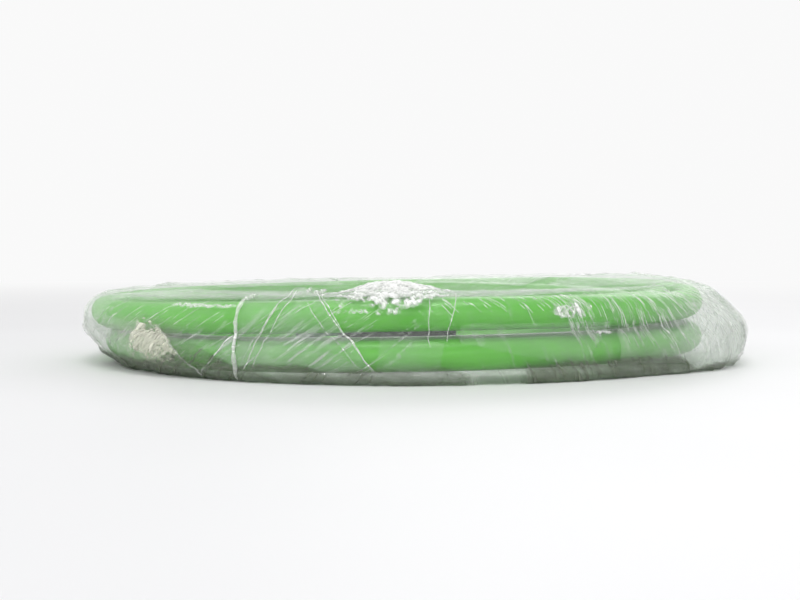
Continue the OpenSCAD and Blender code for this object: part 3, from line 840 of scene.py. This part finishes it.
for name, bearing_span, run_span, step_over, amount, radius in rows_of_lines:
    ridge_points = []
    ridge_edges = []
    for number in range(amount):
        begin_phi = bearing_span[0] + (bearing_span[1] - bearing_span[0]) * chance.rand()
        begin_run = run_span[0] + (run_span[1] - run_span[0]) * chance.rand() ** 1.3
        size = 0.35 + 0.75 * chance.rand()
        s = np.linspace(0, 1, 12)
        line_phi = begin_phi + size * step_over[0] * (s + 0.12 * (chance.rand() - 0.5) * np.sin(3 * s))
        line_run = np.clip(begin_run + size * step_over[1] * s, 74, 98.4)
        line_t = np.interp(line_run, skin_run, np.arange(22))
        line = film_spot(line_phi, line_t, film_thick + 0.02)[0] * MM
        first = len(ridge_points)
        ridge_points += [tuple(point) for point in line]
        ridge_edges += [(first + k, first + k + 1) for k in range(11)]
    ridges = run_rule("film_ridges_" + name, ridge_rule, {"Ridge radius": radius * MM, "Place": (0, 0, 0),
                      "Finish": ridge_film_painted_glint}, (ridge_points, ridge_edges))
    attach(ridges, "cord")

# The breakouts: black rubber shells moulded over the place where the duplex cable divides, one at each
# end. The cable goes in at one end and the two legs leave by bores at the other.
def moulded_finish(name, deep, fresh, roughness, grain_scale, grain_depth):
    plastic = bpy.data.materials.new(name)
    plastic.use_nodes = True
    tree = plastic.node_tree
    surface = tree.nodes["Principled BSDF"]
    place = tree.nodes.new("ShaderNodeTexCoord")
    cloud = new_node(tree, "ShaderNodeTexNoise", {"Scale": 160, "Detail": 3})
    tint = tree.nodes.new("ShaderNodeValToRGB")
    tint.color_ramp.elements[0].position = 0.3
    tint.color_ramp.elements[0].color = deep
    tint.color_ramp.elements[1].position = 0.7
    tint.color_ramp.elements[1].color = fresh
    wear = new_node(tree, "ShaderNodeMapRange", {"To Min": roughness - 0.07, "To Max": roughness + 0.08})
    grain = new_node(tree, "ShaderNodeTexVoronoi", {"Scale": grain_scale})
    dimple = new_node(tree, "ShaderNodeBump", {"Strength": 0.25, "Distance": grain_depth})
    link(tree, place, "Object", cloud, "Vector")
    link(tree, place, "Object", grain, "Vector")
    link(tree, cloud, "Fac", tint, "Fac")
    link(tree, tint, "Color", surface, "Base Color")
    link(tree, cloud, "Fac", wear, "Value")
    link(tree, wear, "Result", surface, "Roughness")
    link(tree, grain, "Distance", dimple, "Height")
    link(tree, dimple, "Normal", surface, "Normal")
    return plastic


def finish_node(name, finish):
    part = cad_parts[name]
    if not part.material_slots:
        part.data.materials.append(finish)
    for slot in part.material_slots:
        slot.material = finish


breakout_rubber = moulded_finish("breakout_rubber_black", (0.018, 0.018, 0.02, 1), (0.035, 0.035, 0.038,
                                 1), 0.62, 1500, 0.0001)
for end in "ab":
    finish_node("breakout_" + end, breakout_rubber)

# The boots: soft dark-green rubber sleeves that take the bend where each leg enters its plug, with
# six moulded rings so that they flex. Pushed over the crimp sleeve.
channels = ("a1", "a2", "b1", "b2")
boot_rubber = moulded_finish("boot_rubber_green", (0.022, 0.085, 0.035, 1), (0.045, 0.14, 0.06, 1), 0.55,
                             2200, 0.00008)
for channel in channels:
    finish_node("boot_" + channel, boot_rubber)

# The plug housings: a green sliding grip over an off-white inner frame, both injection moulded, and a
# dark clip that snaps round the two grips of a pair so that they pull back together.
grip_green = moulded_finish("grip_plastic_green", (0.018, 0.22, 0.07, 1), (0.03, 0.30, 0.10, 1), 0.30,
                            2600, 0.00004)
frame_white = moulded_finish("frame_plastic_white", (0.70, 0.70, 0.67, 1), (0.78, 0.78, 0.75, 1), 0.32,
                             2600, 0.00004)
clip_dark = moulded_finish("clip_plastic_dark", (0.06, 0.06, 0.065, 1), (0.10, 0.10, 0.105, 1), 0.5, 1900,
                           0.00008)
for channel in channels:
    finish_node("grip_" + channel, grip_green)
    finish_node("plug_frame_" + channel, frame_white)
for end in "ab":
    finish_node("duplex_clip_" + end, clip_dark)


# The metal back ends: a turned steel body that holds the spring in, and the aluminium sleeve crimped
# over its barrel. The body's shoulder is knurled all round so that it can be gripped.
def turned_finish(name, deep, bright, roughness, lines):
    metal = bpy.data.materials.new(name)
    metal.use_nodes = True
    tree = metal.node_tree
    surface = tree.nodes["Principled BSDF"]
    surface.inputs["Metallic"].default_value = 1.0
    place = tree.nodes.new("ShaderNodeTexCoord")
    drawn = new_node(tree, "ShaderNodeMapping", {"Scale": (lines, 40, 40)})
    cut = new_node(tree, "ShaderNodeTexNoise", {"Scale": 1, "Detail": 4})
    tint = tree.nodes.new("ShaderNodeValToRGB")
    tint.color_ramp.elements[0].position = 0.25
    tint.color_ramp.elements[0].color = deep
    tint.color_ramp.elements[1].position = 0.75
    tint.color_ramp.elements[1].color = bright
    wear = new_node(tree, "ShaderNodeMapRange", {"To Min": roughness - 0.08, "To Max": roughness + 0.12})
    groove = new_node(tree, "ShaderNodeBump", {"Strength": 0.2, "Distance": 0.00005})
    link(tree, place, "Object", drawn, "Vector")
    link(tree, drawn, "Vector", cut, "Vector")
    link(tree, cut, "Fac", tint, "Fac")
    link(tree, tint, "Color", surface, "Base Color")
    link(tree, cut, "Fac", wear, "Value")
    link(tree, wear, "Result", surface, "Roughness")
    link(tree, cut, "Fac", groove, "Height")
    link(tree, groove, "Normal", surface, "Normal")
    return metal


body_steel = turned_finish("back_body_steel", (0.42, 0.42, 0.41, 1), (0.60, 0.60, 0.58, 1), 0.3, 9000)
crimp_aluminium = turned_finish("crimp_sleeve_aluminium", (0.62, 0.62, 0.63, 1), (0.78, 0.78, 0.79, 1),
                                0.36, 7000)
knurl = start_rule("knurled_shoulder", (("Ridges", "NodeSocketInt"), ("Radius", "NodeSocketFloat"),
                                        ("Ridge size", "NodeSocketVector"), ("Place", "NodeSocketVector")))
given = knurl.nodes.new("NodeGroupInput")
hoop = knurl.nodes.new("GeometryNodeMeshCircle")
ridge = knurl.nodes.new("GeometryNodeMeshCube")
where = knurl.nodes.new("GeometryNodeInputPosition")
facing = knurl.nodes.new("FunctionNodeAlignRotationToVector")
facing.axis = "X"
facing.pivot_axis = "Z"
planted = knurl.nodes.new("GeometryNodeInstanceOnPoints")
link(knurl, given, "Ridges", hoop, "Vertices")
link(knurl, given, "Radius", hoop, "Radius")
link(knurl, given, "Ridge size", ridge, "Size")
link(knurl, where, "Position", facing, "Vector")
link(knurl, hoop, "Mesh", planted, "Points")
link(knurl, ridge, "Mesh", planted, "Instance")
link(knurl, facing, "Rotation", planted, "Rotation")
end_rule(knurl, planted.outputs["Instances"], given, (0, math.pi / 2, 0), "Place")
plug_front_x = 0.011
plug_height = 0.0074
plug_across = {"a1": 0.0063, "a2": 0.019, "b1": -0.0063, "b2": -0.019}
for channel in channels:
    finish_node("back_body_" + channel, body_steel)
    finish_node("crimp_sleeve_" + channel, crimp_aluminium)
    ridges = run_rule("knurl_" + channel, knurl, {
        "Ridges": 40, "Radius": 0.00318, "Ridge size": (0.00022, 0.00026, 0.001),
        "Place": (plug_front_x - 0.0206, plug_across[channel], plug_height), "Finish": body_steel})
    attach(ridges, "cord")

# The ferrules: polished zirconia rods that hold the glass fiber, each pressed in a turned nickel-silver
# flange, with the buffered fiber behind. A steel coil spring pushes each one forward in its frame.
zirconia = moulded_finish("ferrule_zirconia", (0.80, 0.79, 0.75, 1), (0.86, 0.85, 0.82, 1), 0.16, 5000,
                          0.00001)
nickel_silver = turned_finish("flange_nickel_silver", (0.50, 0.49, 0.45, 1), (0.66, 0.65, 0.61, 1), 0.26,
                              12000)
buffer_cream = moulded_finish("fiber_buffer_cream", (0.78, 0.73, 0.55, 1), (0.86, 0.81, 0.64, 1), 0.4,
                              4000, 0.00002)
spring_steel = turned_finish("spring_wire_steel", (0.36, 0.36, 0.37, 1), (0.55, 0.55, 0.56, 1), 0.28, 3000)
helix = start_rule("spring_coils", (("Coils", "NodeSocketFloat"), ("Mean radius", "NodeSocketFloat"),
                                    ("Length", "NodeSocketFloat"), ("Wire radius", "NodeSocketFloat"),
                                    ("Place", "NodeSocketVector")))
given = helix.nodes.new("NodeGroupInput")
coil_line = new_node(helix, "GeometryNodeCurveSpiral", {"Resolution": 36})
wire = new_node(helix, "GeometryNodeCurvePrimitiveCircle", {"Resolution": 12})
drawn_wire = new_node(helix, "GeometryNodeCurveToMesh", {"Fill Caps": True})
link(helix, given, "Coils", coil_line, "Rotations")
link(helix, given, "Mean radius", coil_line, "Start Radius")
link(helix, given, "Mean radius", coil_line, "End Radius")
link(helix, given, "Length", coil_line, "Height")
link(helix, given, "Wire radius", wire, "Radius")
link(helix, coil_line, "Curve", drawn_wire, "Curve")
link(helix, wire, "Curve", drawn_wire, "Profile Curve")
end_rule(helix, drawn_wire.outputs["Mesh"], given, (0, math.pi / 2, 0), "Place")
for channel in channels:
    finish_node("ferrule_" + channel, zirconia)
    finish_node("ferrule_flange_" + channel, nickel_silver)
    finish_node("buffered_fiber_" + channel, buffer_cream)
    spring = run_rule("spring_wire_" + channel, helix, {
        "Coils": 7.0, "Mean radius": 0.0017, "Length": 0.0062, "Wire radius": 0.0003,
        "Place": (plug_front_x - 0.0167, plug_across[channel], plug_height), "Finish": spring_steel})
    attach(spring, "cord")
    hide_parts("spring_" + channel)
    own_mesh(spring)

# The dust caps: milky soft polyethylene, one pushed over the tip of each ferrule, with a rim and a
# small end ring to pull it off by.
cap_milky = moulded_finish("cap_polyethylene", (0.74, 0.76, 0.76, 1), (0.82, 0.84, 0.84, 1), 0.35, 2400,
                           0.00004)
cap_milky.node_tree.nodes["Principled BSDF"].inputs["Alpha"].default_value = 0.86
cap_milky.node_tree.nodes["Principled BSDF"].inputs["Subsurface Weight"].default_value = 0.3
cap_milky.node_tree.nodes["Principled BSDF"].inputs["Subsurface Scale"].default_value = 0.001
for channel in channels:
    finish_node("dust_cap_" + channel, cap_milky)
